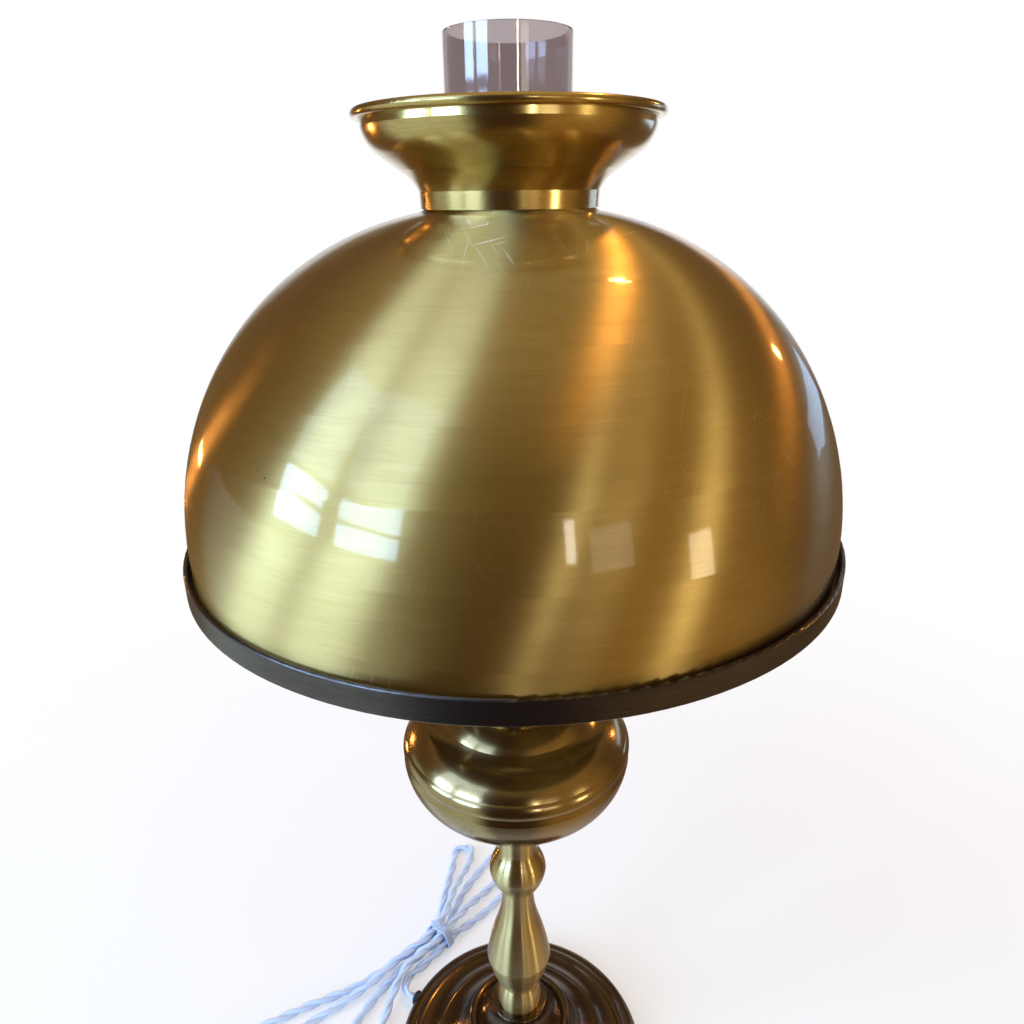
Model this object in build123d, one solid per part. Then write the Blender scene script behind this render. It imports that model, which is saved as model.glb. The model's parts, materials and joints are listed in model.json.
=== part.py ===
from build123d import *
from math import acos, asin, atan2, cos, degrees, hypot, pi, radians, sin, tan
import os

# Student lamp, electrified: a brass shade and crown on a bronze ring, a glass chimney,
# an urn-shaped font on a turned stem, and a round weighted base with a twisted flex.
# Millimetres, +Z up, the origin at the centre of the base where it stands.

# Fits
slip = 0.15
hair = 0.1
running = 0.06

# Threaded pipe that clamps the whole stem
pipe_radius = 5.0
pipe_bore = 3.75
pipe_tail = 0.3
pipe_reach = 18.3
nut_flats = 17.0
nut_height = 4.0
washer_radius = 10.5
washer_height = 1.0

# Base
base_radius = 70.4
base_wall = 1.2
rim_bottom = 0.8
rim_edge = 5.0
ovolo_width = 6.5
bead_width = 5.6
cove_width = 9.8
shoulder_radius = base_radius - ovolo_width
bead_inner = shoulder_radius - bead_width
cove_inner = bead_inner - cove_width
shoulder_height = 9.6
boss_radius = 15.5
base_height = 47.0
step_radius = boss_radius + 0.33 * (cove_inner - boss_radius)
step_height = 0.715 * base_height
felt_height = 1.5
felt_inset = 4.5
felt_radius = base_radius - felt_inset
weight_inset = 8.5
weight_radius = base_radius - weight_inset
weight_edge = 7.2
weight_hub = 16.0
weight_recess = 15.0

# Flex and its way in
flex = 5.4
flex_height = 4.8
bush_angle = 154.5
bush_shank = 3.6
bush_flange = 4.3
bush_lip = 1.5
bush_tail = felt_inset - 0.5
channel_width = 8.2
inner_bend = 6.8

# Turned stem
foot_height = 13.8
foot_radius = 12.0
foot_bottom = 11.6
waist_radius = 9.7
vase_height = 68.0
vase_radius = 17.2
vase_top = 8.2
knop_height = 31.0
knop_radius = 14.7
knop_top = 9.7
neck_height = 19.2
neck_top = 12.6

# Font
font_wall = 1.0
font_radius = 54.0
lower_height = 45.2
upper_height = 27.2
shoulder_ring = 33.2
collar_radius = 25.2
collar_height = 4.0

# Burner and gallery
burner_wall = 1.0
burner_radius = 25.0
burner_foot = 18.0
burner_mouth = 21.0
burner_height = 34.0
deck_drop = 2.2
deck_thickness = 1.2
gallery_rim = 2.8
gallery_height = 16.5
gallery_plate = 1.5
prong_wall = 0.7
prongs = 8
prong_slot = 5.0

# Switch and its knob
switch_height = 8.6
switch_width = 10.0
shaft_radius = 2.0
shaft_reach = 39.0
switch_bush = 3.4
knob_radius = 7.8
knob_width = 7.0
knob_flutes = 20

# Shade
shade_wall = 1.0
shade_radius = 129.0
shade_rise = 117.8
equator_rise = 14.0
shade_flat = 1.95
shade_full = 2.31
throat_radius = 31.6
throat_height = 6.0

# Shade ring, hub and arms
ring_play = 1.4
ring_lip = 1.6
ring_width = 10.0
ring_outer = shade_radius + ring_play + ring_lip
ring_inner = ring_outer - ring_width
ring_height = 9.4
ring_flange = 1.6
inner_lip_height = 4.2
ring_rise = 59.7
hub_height = 6.0
hub_wall = 3.0
hub_pad = 31.0
hub_rise = 17.0
arm_radius = 2.0
arm_count = 3
arm_first = 90.0
arm_elbow = 43.0
arm_grip = 16.0
arm_wrist = ring_inner - arm_grip
screw_radius = 1.5

# Crown
crown_wall = 0.9
crown_slip = 0.2
crown_neck = throat_radius + crown_slip + crown_wall
crown_height = 32.3
crown_radius = 52.4
bead_radius = 1.6
bead_centre = crown_radius + bead_radius

# Chimney
chimney_radius = 22.5
chimney_swell = 0.9
chimney_foot = chimney_radius + chimney_swell
gallery_radius = chimney_foot + gallery_rim
chimney_wall = 1.5
chimney_height = 229.0
foot_length = 16.0
taper_length = 14.0

# Lamp holder and bulb
holder_radius = 12.5
holder_wall = 1.2
holder_height = 43.0
holder_grip = 4.5
core_height = 14.0
sleeve_wall = 0.5
sleeve_height = 20.0
cap_radius = 7.0
cap_height = 21.0
bulb_radius = 15.0
bulb_height = 74.0
bulb_wall = 0.7

# Plug
plug_length = 36.0
plug_width = 35.0
plug_back = 15.0
plug_thickness = 13.6
pin_radius = 2.0
pin_length = 19.0
pin_spacing = 19.0
plug_rise = plug_thickness / 2 + 0.1
relief_length = 22.0
relief_radius = 4.8

# Tie round the waist of the hank
tie_width = 5.0
tie_thickness = 1.2

# Heights that follow from the sizes above
pipe_bottom = weight_hub - washer_height - nut_height - pipe_tail
foot_z = base_height + hair
vase_z = foot_z + foot_height + hair
knop_z = vase_z + vase_height + hair
neck_z = knop_z + knop_height + hair
font_z = neck_z + neck_height + hair
seam_z = font_z + lower_height
font_top = seam_z + upper_height
burner_z = font_top + collar_height + hair
gallery_z = burner_z + burner_height
chimney_z = gallery_z + gallery_plate + hair
hub_z = burner_z + hub_rise
ring_bottom = hub_z + ring_rise
shade_z = ring_bottom + ring_flange + hair
equator_z = shade_z + equator_rise
switch_z = burner_z + switch_height
pipe_top = burner_z + pipe_reach


def turned(start, *steps):
    """A solid turned about Z from an outline of (radius, height) points.
    A step is the end of a straight line, or a pair: a point on an arc, and its end."""
    edges = []
    here = start
    for step in (*steps, start):
        curved = isinstance(step[0], tuple)
        there = step[1] if curved else step
        ends = Vector(here[0], 0, here[1]), Vector(there[0], 0, there[1])
        if curved:
            via = Vector(step[0][0], 0, step[0][1])
            edges.append(ThreePointArc(ends[0], via, ends[1]))
        else:
            edges.append(Line(*ends))
        here = there
    return revolve(make_face(Wire(edges)), Axis.Z, 360)


def arc_centre(a, m, b):
    """The centre of the circle through three points of an outline."""
    d = 2 * (a[0] * (m[1] - b[1]) + m[0] * (b[1] - a[1]) + b[0] * (a[1] - m[1]))
    sa, sm, sb = (p[0] ** 2 + p[1] ** 2 for p in (a, m, b))
    x = (sa * (m[1] - b[1]) + sm * (b[1] - a[1]) + sb * (a[1] - m[1])) / d
    y = (sa * (b[0] - m[0]) + sm * (a[0] - b[0]) + sb * (m[0] - a[0])) / d
    return x, y


def headings(start, steps):
    """The direction of an outline where each of its steps starts and ends."""
    found = []
    here = start
    for step in steps:
        curved = isinstance(step[0], tuple)
        there = step[1] if curved else step
        chord = atan2(there[1] - here[1], there[0] - here[0])
        if curved:
            cx, cy = arc_centre(here, step[0], there)
            radius = hypot(here[0] - cx, here[1] - cy)
            half = hypot(there[0] - here[0], there[1] - here[1]) / 2
            swing = asin(min(1.0, half / radius))
            side = (there[0] - here[0]) * (step[0][1] - here[1])
            side -= (there[1] - here[1]) * (step[0][0] - here[0])
            swing = swing if side > 0 else -swing
            found.append((chord + swing, chord - swing))
        else:
            found.append((chord, chord))
        here = there
    return found


def spun(wall, start, *steps):
    """A sheet-metal shell spun about Z: the outline is one face, and the other lies
    a wall's thickness to the right of the outline's direction (to the left if negative)."""
    runs = headings(start, steps)
    ends = [start] + [s[1] if isinstance(s[0], tuple) else s for s in steps]
    inner = []
    for i, (r, z) in enumerate(ends):
        before = runs[max(i - 1, 0)][1] if i else runs[0][0]
        after = runs[i][0] if i < len(runs) else runs[-1][1]
        middle = atan2(sin(before) + sin(after), cos(before) + cos(after))
        grow = wall / max(0.5, cos((after - before) / 2))
        inner.append((r + grow * sin(middle), z - grow * cos(middle)))
    back = []
    for i in range(len(steps) - 1, -1, -1):
        if isinstance(steps[i][0], tuple):
            m = steps[i][0]
            cx, cy = arc_centre(ends[i], m, ends[i + 1])
            radius = hypot(m[0] - cx, m[1] - cy)
            turn = (ends[i + 1][0] - ends[i][0]) * (m[1] - ends[i][1])
            turn -= (ends[i + 1][1] - ends[i][1]) * (m[0] - ends[i][0])
            scale = (radius - wall) / radius if turn > 0 else (radius + wall) / radius
            back.append(((cx + (m[0] - cx) * scale, cy + (m[1] - cy) * scale), inner[i]))
        else:
            back.append(inner[i])
    return turned(start, *steps, inner[-1], *back)


def rod(radius, start, end):
    """A round bar between two points."""
    along = Vector(*end) - Vector(*start)
    return Plane(origin=start, z_dir=along) * extrude(Circle(radius), along.length)


def disc(radius, bottom, top, bore=0.0):
    """A flat disc on the axis, with a hole if it has one."""
    plate = Circle(radius) - Circle(bore) if bore else Circle(radius)
    return Pos(0, 0, bottom) * extrude(plate, top - bottom)


def corner_radii(points):
    """A radius for each corner of a tube's route: 0.45 of the shorter run beside it,
    over the tangent of half the turn, so that some of every run stays straight."""
    found = []
    for i in range(1, len(points) - 1):
        before = Vector(*points[i]) - Vector(*points[i - 1])
        after = Vector(*points[i + 1]) - Vector(*points[i])
        reach = 0.45 * min(before.length, after.length)
        found.append(reach / tan(radians(before.get_angle(after)) / 2))
    return found


def tube(radius, points, radii):
    """A round tube along straight runs joined by tangent arcs."""
    line = FilletPolyline(*points, radius=radii)
    section = Plane(origin=line @ 0, z_dir=line % 0) * Circle(radius)
    return sweep(section, path=line), line


# Base shell: a rim, an ovolo, a bead, a cove and a second bead, then a bell with a step up to the boss
def base_shell():
    bead_top = shoulder_height + 1.7
    cove_top = bead_top + 2.3
    sweep_width = cove_inner - step_radius
    shell = spun(
        base_wall,
        (pipe_radius + slip, base_height),
        (boss_radius - 0.9, base_height),
        ((boss_radius - 0.2, base_height - 0.3), (boss_radius, base_height - 1.1)),
        (
            (boss_radius + 1.9, (base_height + step_height) / 2 - 1.3),
            (step_radius - 2.6, step_height - 0.5),
        ),
        ((step_radius, step_height + 0.9), (step_radius + 2.4, step_height - 1.2)),
        (
            (step_radius + 0.29 * sweep_width, cove_top + 0.43 * (step_height - cove_top)),
            (cove_inner - 2.6, cove_top + 0.9),
        ),
        ((cove_inner - 1.2, cove_top + 1.3), (cove_inner, cove_top)),
        ((cove_inner + 3.4, cove_top - 1.9), (bead_inner, bead_top - 0.8)),
        ((bead_inner + 2.0, bead_top), (shoulder_radius - 0.9, shoulder_height + 0.5)),
        (shoulder_radius, shoulder_height),
        ((base_radius - 1.6, rim_edge + 3.0), (base_radius, rim_edge)),
        (base_radius, rim_bottom),
    )
    hole = Rot(0, 0, bush_angle) * rod(
        bush_shank + slip, (base_radius - 6, 0, flex_height), (base_radius + 3, 0, flex_height)
    )
    notch = Rot(0, 0, bush_angle) * Pos(base_radius, 0, flex_height / 2) * Box(
        8, 2 * (bush_shank + slip), flex_height
    )
    return shell - hole - notch


# Cast-iron weight, with a recess for the nut and a channel for the flex
def base_weight():
    top = base_height - base_wall - hair
    sweep_width = cove_inner - step_radius
    body = turned(
        (pipe_radius + slip, weight_hub),
        (weight_recess, weight_hub),
        (weight_recess, felt_height),
        (weight_radius, felt_height),
        (weight_radius, weight_edge),
        (cove_inner, weight_edge + 2.6),
        (step_radius + 0.64 * sweep_width, weight_edge + 5.3),
        (step_radius + 0.25 * sweep_width, weight_edge + 11.4),
        (step_radius - 0.4, step_height - 5.0),
        (step_radius - 6.0, step_height - 3.2),
        (boss_radius - 1.6, top - 5.7),
        (boss_radius - 2.6, top),
        (pipe_radius + slip, top),
    )
    channel = Rot(0, 0, bush_angle) * Pos(
        weight_radius / 2 + 8, 0, felt_height + channel_width / 2 - 1
    ) * Box(weight_radius, channel_width, channel_width)
    return body - channel


def felt():
    return disc(felt_radius, 0, felt_height)


# Rubber bush in the rim, with the flex through it
def cord_bush():
    bush = turned(
        (flex / 2 + hair, 0),
        (bush_shank, 0),
        (bush_shank, bush_tail),
        (bush_flange, bush_tail),
        ((bush_flange - 0.3, bush_tail + bush_lip * 0.75), (bush_shank, bush_tail + bush_lip)),
        (flex / 2 + hair, bush_tail + bush_lip),
    )
    place = Plane(
        origin=(base_radius - bush_tail, 0, flex_height), x_dir=(0, 1, 0), z_dir=(1, 0, 0)
    )
    return Rot(0, 0, bush_angle) * (place * bush)


def hex_nut(bottom):
    blank = extrude(RegularPolygon(nut_flats / 2, 6, major_radius=False), nut_height)
    return Pos(0, 0, bottom) * (blank - disc(pipe_radius + hair, -1, nut_height + 1))


def washer(bottom):
    return disc(washer_radius, bottom, bottom + washer_height, pipe_radius + hair)


# Turned pieces of the stem, each with a bore for the pipe
def stem_foot():
    z = foot_z
    return turned(
        (pipe_radius + slip, z),
        (foot_bottom, z),
        ((foot_radius - 0.15, z + 1.0), (foot_radius, z + 2.6)),
        ((foot_radius - 0.5, z + 8.4), (waist_radius, z + foot_height)),
        (pipe_radius + slip, z + foot_height),
    )


def stem_vase():
    z = vase_z
    shoulder = vase_z + 0.33 * vase_height
    taper = vase_z + 0.70 * vase_height
    return turned(
        (pipe_radius + slip, z),
        (waist_radius, z),
        ((vase_radius - 3.0, z + 0.15 * vase_height), (vase_radius, shoulder)),
        ((vase_radius - 2.2, z + 0.50 * vase_height), (vase_radius - 5.8, taper)),
        ((vase_top + 0.7, z + 0.86 * vase_height), (vase_top, z + vase_height)),
        (pipe_radius + slip, z + vase_height),
    )


def stem_knop():
    z = knop_z
    widest = z + 15.8
    return turned(
        (pipe_radius + slip, z),
        (vase_top, z),
        (vase_top, z + 1.2),
        ((knop_radius - 2.2, z + 7.8), (knop_radius, widest)),
        ((knop_radius - 1.1, widest + 5.2), (knop_top + 1.3, widest + 10.0)),
        ((knop_top + 0.2, widest + 12.4), (knop_top, z + knop_height)),
        (pipe_radius + slip, z + knop_height),
    )


def font_neck():
    z = neck_z
    return turned(
        (pipe_radius + slip, z),
        (knop_top, z),
        ((knop_top + 0.2, z + 8.2), (neck_top, z + neck_height)),
        (pipe_radius + slip, z + neck_height),
    )


# Font: two spun shells that meet under the widest ring
def font_lower():
    z = font_z
    return spun(
        -font_wall,
        (pipe_radius + slip, z),
        (neck_top, z),
        ((font_radius - 24.0, z + 10.4), (font_radius - 11.6, z + 20.8)),
        ((font_radius - 2.7, z + 32.2), (font_radius - 0.2, z + 41.8)),
        (font_radius - 0.9, seam_z - hair),
    )


def font_upper():
    z = seam_z
    return spun(
        -font_wall,
        (font_radius - 0.7, z),
        ((font_radius - 0.1, z + 3.3), (font_radius - 2.0, z + 7.0)),
        ((font_radius - 5.4, z + 11.6), (font_radius - 11.0, z + 15.4)),
        ((shoulder_ring + 5.2, z + 17.1), (shoulder_ring + 2.4, z + 19.2)),
        ((shoulder_ring - 1.8, z + 23.9), (collar_radius + 1.7, font_top - 0.6)),
        (collar_radius, font_top),
        (pipe_radius + slip, font_top),
    )


def font_collar():
    z = font_top
    return turned(
        (washer_radius + 2.0, z),
        (collar_radius - 1.2, z),
        (collar_radius - 0.4, z + 0.8),
        ((collar_radius, z + 2.0), (collar_radius - 0.4, z + 3.2)),
        (collar_radius - 1.2, z + collar_height),
        (washer_radius + 2.0, z + collar_height),
    )


# Burner: a spun bowl with a hole for the switch and air holes under the gallery
def burner_body():
    z = burner_z
    bowl = spun(
        -burner_wall,
        (burner_foot, z),
        (burner_foot, z + 3.0),
        ((burner_radius - 2.6, z + 8.2), (burner_radius, z + 14.0)),
        (burner_radius, z + 25.0),
        ((burner_radius - 0.6, z + 28.6), (burner_mouth, z + 31.6)),
        (burner_mouth, z + burner_height),
    )
    bowl -= rod(switch_bush + slip, (10, 0, switch_z), (30, 0, switch_z))
    for i in range(18):
        bowl -= Rot(0, 0, 20 * i) * rod(1.2, (15, 0, z + 28.4), (30, 0, z + 28.4))
    return bowl


def burner_deck():
    z = burner_z + burner_height - deck_drop
    rim = burner_mouth - burner_wall - hair
    deck = disc(rim, z, z + deck_thickness, holder_radius + hair)
    for i in range(16):
        deck -= Rot(0, 0, 22.5 * i) * Pos((rim + holder_radius) / 2, 0, 0) * disc(1.3, z - 1, z + 3)
    return deck


def gallery():
    z = gallery_z
    inner = chimney_foot + hair
    cup = turned(
        (burner_mouth - 2.4, z),
        (gallery_radius - 0.4, z),
        (gallery_radius, z + 1.2),
        ((gallery_radius + 0.2, z + 6.0), (inner + prong_wall, z + gallery_height - 3.0)),
        ((inner + prong_wall + 0.3, z + gallery_height - 1.4), (inner + 1.7, z + gallery_height)),
        (inner + 1.1, z + gallery_height + 0.2),
        ((inner + 0.2, z + gallery_height - 1.6), (inner, z + gallery_height - 3.2)),
        ((gallery_radius - 0.9, z + 7.0), (gallery_radius - 1.2, z + gallery_plate)),
        (burner_mouth - 2.4, z + gallery_plate),
    )
    slot = Pos(gallery_radius, 0, z + gallery_plate + 2 + gallery_height / 2) * Box(
        8, prong_slot, gallery_height
    )
    for i in range(prongs):
        cup -= Rot(0, 0, (i + 0.5) * 360 / prongs) * slot
    return cup


# Rotary switch inside the burner, its shaft, and the fluted knob
def switch_body():
    inside = burner_foot - 3.6
    box = Pos(inside - 2.5, 0, switch_z) * Box(5, switch_width, switch_height - 1.6)
    neck = rod(switch_bush, (inside, 0, switch_z), (burner_radius + 1.6, 0, switch_z))
    bore = rod(shaft_radius + running, (inside - 4, 0, switch_z), (burner_radius + 3, 0, switch_z))
    return box + neck - bore


def knob_shaft():
    return rod(shaft_radius, (burner_foot - 6.0, 0, switch_z), (shaft_reach, 0, switch_z))


def knob():
    start = shaft_reach - knob_width - 1.0
    body = turned(
        (shaft_radius + hair, 0),
        (knob_radius - 2.6, 0),
        (knob_radius - 0.6, 1.2),
        (knob_radius, 1.8),
        (knob_radius, knob_width - 1.6),
        (knob_radius - 0.8, knob_width - 0.8),
        ((knob_radius / 2, knob_width + 0.3), (shaft_radius + hair, knob_width + 0.6)),
    )
    for i in range(knob_flutes):
        at = 2 * pi * i / knob_flutes
        x, y = (knob_radius + 0.25) * cos(at), (knob_radius + 0.25) * sin(at)
        body -= rod(0.7, (x, y, -1), (x, y, knob_width + 2))
    place = Plane(origin=(start, 0, switch_z), x_dir=(0, 1, 0), z_dir=(1, 0, 0))
    return place * body


# Shade holder: a hub clamped round the burner, three arms and the channel ring
def shade_hub():
    z = hub_z
    hub = disc(burner_radius + hub_wall, z, z + hub_height, burner_radius + hair)
    for i in range(arm_count):
        pad = Pos((burner_radius + hub_pad + 1) / 2, 0, z + hub_height / 2) * Box(
            hub_pad - burner_radius - 1, 3.4 * arm_radius, hub_height
        )
        hub += Rot(0, 0, arm_first + 360 / arm_count * i) * pad
        hole = rod(screw_radius + hair, (20, 0, z + hub_height / 2), (40, 0, z + hub_height / 2))
        hub -= Rot(0, 0, arm_first + 360 / arm_count * (i + 0.5)) * hole
    return hub - disc(burner_radius + hair, z - 1, z + hub_height + 1)


def hub_screw(i):
    z = hub_z + hub_height / 2
    start = burner_radius + hair
    screw = rod(screw_radius, (start, 0, z), (start + 5.5, 0, z))
    head = rod(2 * screw_radius, (start + 3.4, 0, z), (start + 6.0, 0, z))
    slot = Pos(start + 6.0, 0, z) * Box(1.2, 0.7, 5 * screw_radius)
    return Rot(0, 0, arm_first + 360 / arm_count * (i + 0.5)) * (screw + head - slot)


def shade_arm(i):
    z = hub_z + hub_height / 2
    top = ring_bottom + inner_lip_height / 2
    route = [
        (hub_pad, 0, z),
        (arm_elbow, 0, z),
        (arm_wrist, 0, top),
        (ring_inner + 1, 0, top),
    ]
    bar, _ = tube(arm_radius, route, [12.0, 12.0])
    bar &= disc(ring_inner - hair, z - 10, top + 10)
    return Rot(0, 0, arm_first + 360 / arm_count * i) * bar


def shade_ring():
    z = ring_bottom
    top = z + ring_height
    return turned(
        (ring_inner, z),
        (ring_outer - 0.6, z),
        (ring_outer, z + 0.6),
        (ring_outer, top - 0.8),
        ((ring_outer - ring_lip / 2, top), (ring_outer - ring_lip, top - 0.8)),
        (ring_outer - ring_lip, z + ring_flange),
        (ring_inner + ring_lip, z + ring_flange),
        (ring_inner + ring_lip, z + inner_lip_height),
        (ring_inner, z + inner_lip_height),
    )


def shade_point(turn):
    """A point of the dome's outside at an angle up from its equator, in degrees."""
    across = shade_radius * cos(radians(turn)) ** (2 / shade_full)
    up = shade_rise * sin(radians(turn)) ** (2 / shade_flat)
    return across, equator_z + up


throat_turn = degrees(acos(((throat_radius + 1.6) / shade_radius) ** (shade_full / 2)))


# Shade: the throat, then the dome down to a plain foot
def shade_dome():
    stops = 7
    arcs = []
    for i in range(stops, 0, -1):
        middle = shade_point(throat_turn * (i - 0.5) / stops)
        end = shade_point(throat_turn * (i - 1) / stops) if i > 1 else (shade_radius, equator_z)
        arcs.append((middle, end))
    first = shade_point(throat_turn)
    return spun(
        shade_wall,
        (throat_radius, first[1] + throat_height),
        (throat_radius, first[1] + 0.9),
        first,
        *arcs,
        (shade_radius - 0.3, shade_z),
    )


def crown():
    z = shade_point(throat_turn)[1] + 1.1
    top = z + crown_height
    bead_z = top - bead_radius
    bowl = spun(
        -crown_wall,
        (crown_neck, z),
        (crown_neck + 0.3, z + 5.8),
        ((crown_neck + 2.3, z + 9.1), (crown_neck + 6.8, z + 12.8)),
        (crown_radius - 6.2, z + 17.6),
        ((crown_radius - 1.8, z + 22.0), (crown_radius, z + 26.6)),
        (crown_radius, bead_z),
    )
    bead = revolve(
        Pos(bead_centre, 0, bead_z) * (Plane.XZ * Circle(bead_radius)), Axis.Z, 360
    )
    lip = disc(bead_centre, bead_z - 0.5, bead_z + 0.5, crown_radius - crown_wall)
    return bowl + bead + lip


def chimney():
    z = chimney_z
    return spun(
        chimney_wall,
        (chimney_radius, z + chimney_height),
        (chimney_radius, z + foot_length + taper_length),
        (chimney_foot, z + foot_length),
        (chimney_foot, z),
    )


# Lamp holder on the pipe's top
def holder_shell():
    z = pipe_top - holder_grip
    return turned(
        (pipe_radius + hair, z),
        (holder_radius - 1.5, z),
        ((holder_radius - 0.45, z + 0.45), (holder_radius, z + 1.5)),
        (holder_radius, z + holder_height),
        (holder_radius - holder_wall, z + holder_height),
        (holder_radius - holder_wall, z + holder_grip + 1),
        (pipe_radius + hair, z + holder_grip + 1),
    )


core_z = pipe_top + 1 + hair
sleeve_z = core_z + core_height
cap_z = sleeve_z + 1.3


def holder_core():
    z = core_z
    core = disc(holder_radius - holder_wall - hair, z, z + core_height - hair)
    core -= disc(pipe_bore, z - 1, z + 4)
    rim = disc(
        holder_radius - holder_wall - hair,
        z + core_height - 2 * hair,
        z + core_height + sleeve_height,
        cap_radius + running + sleeve_wall + hair,
    )
    return core + rim


def holder_sleeve():
    z = sleeve_z
    inner = cap_radius + running
    return disc(inner + sleeve_wall, z, z + sleeve_height, inner)


def holder_contact():
    z = sleeve_z
    return Pos(0, 0, z + 0.4) * Box(8, 3.2, 0.6) + disc(1.6, z, z + 1.2)


def bulb_cap():
    z = cap_z
    cap = turned(
        (0, z),
        (2.2, z),
        ((3.0, z + 0.3), (3.2, z + 1.2)),
        (cap_radius - 1.4, z + 2.0),
        (cap_radius, z + 3.4),
        (cap_radius, z + cap_height),
        (0, z + cap_height),
    )
    return cap


def bulb_glass():
    z = cap_z + cap_height + hair
    return spun(
        bulb_wall,
        (1.0, z + bulb_height),
        ((4.6, z + bulb_height - 5.0), (9.4, z + bulb_height - 24.0)),
        ((bulb_radius - 1.3, z + 36.0), (bulb_radius, z + 24.0)),
        ((bulb_radius - 2.2, z + 10.0), (cap_radius - 0.3, z)),
        (cap_radius - 1.5, z),
    )


def bulb_filament():
    z = cap_z + cap_height + hair
    mount = turned((0, z), (3.4, z), (1.7, z + 8.0), (1.3, z + 24.0), (0, z + 24.0))
    for i in range(4):
        foot, head = (1.0, 0, z + 23.0), (4.6, 0, z + 46.0)
        mount += Rot(0, 0, 90 * i) * rod(0.45, foot, head)
    return mount


# The flex: inside the lamp, from the rim to the hank, the tied hank, and the way to the plug
exit_radius = base_radius + bush_lip
bush_out = (
    exit_radius * cos(radians(bush_angle)),
    exit_radius * sin(radians(bush_angle)),
    flex_height,
)


def lead_inside():
    flat = [
        (exit_radius, 0, flex_height),
        (0, 0, flex_height),
        (0, 0, pipe_top + 4.0),
    ]
    inner, _ = tube(flex / 2, flat, [inner_bend])
    return Rot(0, 0, bush_angle) * inner


lead_points = [
    bush_out,
    (bush_out[0] * 1.078, bush_out[1] * 1.078, flex_height),
    (-72.6, 38.8, 4.0),
    (-71.2, 46.3, 3.3),
    (-63.5, 52.8, 3.1),
    (-57.2, 59.2, 4.1),
]

# Up through the tie, back behind the stem, out in the long loops and up to the short fold
hank_points = [
    lead_points[-1],
    (-50.7, 65.7, 5.2),
    (-45.6, 74.2, 5.2),
    (-37.7, 81.0, 4.2),
    (-26.7, 90.7, 3.1),
    (-17.7, 100.8, 2.9),
    (-9.1, 111.7, 2.9),
    (-0.5, 119.6, 2.9),
    (-11.8, 126.6, 2.9),
    (-19.8, 116.2, 3.1),
    (-27.3, 106.5, 4.5),
    (-34.7, 97.1, 7.3),
    (-45.6, 79.1, 10.7),
    (-54.4, 65.8, 10.7),
    (-65.6, 56.9, 9.9),
    (-74.1, 47.1, 8.7),
    (-78.3, 35.7, 6.6),
    (-81.7, 21.9, 3.5),
    (-84.7, 4.5, 2.9),
    (-90.4, -24.0, 2.9),
    (-101.4, -59.3, 2.9),
    (-120.2, -92.2, 2.9),
    (-152.8, -114.1, 2.9),
    (-189.0, -114.0, 2.9),
    (-219.0, -92.0, 2.9),
    (-225.5, -53.0, 2.9),
    (-201.0, -16.4, 2.9),
    (-164.7, 10.1, 2.9),
    (-130.2, 28.0, 2.9),
    (-102.7, 39.4, 2.9),
    (-84.4, 53.3, 3.3),
    (-62.4, 71.2, 5.2),
    (-54.1, 83.9, 5.2),
    (-53.4, 102.6, 3.5),
    (-52.2, 114.0, 2.9),
    (-49.9, 127.1, 2.9),
    (-48.0, 140.8, 2.9),
    (-47.7, 153.3, 2.9),
    (-34.4, 154.1, 2.9),
    (-35.2, 141.7, 2.9),
    (-39.0, 129.2, 5.2),
    (-43.8, 115.6, 8.0),
    (-47.0, 104.2, 9.6),
    (-50.3, 84.3, 10.7),
    (-61.3, 67.7, 10.7),
    (-78.1, 55.3, 9.6),
    (-91.2, 41.1, 7.3),
    (-112.6, 26.5, 2.9),
    (-137.4, 10.3, 2.9),
    (-165.1, -14.6, 2.9),
    (-181.2, -46.6, 2.9),
    (-169.6, -75.4, 2.9),
    (-139.3, -80.1, 2.9),
    (-118.0, -52.4, 2.9),
    (-110.2, -17.0, 2.9),
    (-101.7, 11.7, 2.9),
    (-93.3, 27.9, 2.9),
    (-83.6, 42.9, 2.9),
    (-71.9, 56.4, 3.5),
    (-59.1, 64.8, 5.2),
    (-47.6, 82.5, 5.2),
    (-43.2, 100.7, 3.8),
    (-39.3, 111.7, 2.9),
    (-31.5, 125.6, 2.9),
    (-23.1, 138.9, 2.9),
    (-18.6, 145.3, 2.9),
]

tail_points = [
    hank_points[-1],
    (-14.9, 151.3, 2.9),
    (-7.2, 162.3, 2.9),
    (2.6, 171.8, 2.9),
    (16.1, 178.4, 2.9),
    (30.1, 182.4, 2.9),
    (40.1, 190.6, 2.9),
    (41.1, 202.2, 2.9),
    (32.1, 210.8, 2.9),
    (14.1, 212.9, 2.9),
    (-5.9, 210.8, 2.9),
    (-25.9, 211.6, 2.9),
    (-44.9, 214.7, 2.9),
    (-54.9, 222.8, 2.9),
    (-54.9, 234.4, 2.9),
    (-44.9, 242.2, 2.9),
    (-25.9, 243.5, 2.9),
    (-3.9, 240.9, 2.9),
    (17.1, 241.3, 2.9),
    (37.1, 244.3, 2.9),
    (47.1, 252.5, 2.9),
    (47.1, 264.1, 4.2),
    (37.6, 271.8, plug_rise),
    (22.1, 273.1, plug_rise),
]


def least_gap(line, radius, apart):
    """The least distance between the surfaces of a tube's stretches further apart
    along it than a turn is, from points along its middle line."""
    count = int(line.length / 1.5)
    points = [line @ (i / count) for i in range(count + 1)]
    skip = int(apart / 1.5)
    least = min(
        (points[i] - points[j]).length
        for i in range(count + 1)
        for j in range(i + skip, count + 1)
    )
    return least - 2 * radius


# Tie: a band drawn round the five runs where they pass through the waist
waist = Vector(-53.3, 73.6, 0)
waist_turn = 57.0
pitch = 6.2


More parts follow.
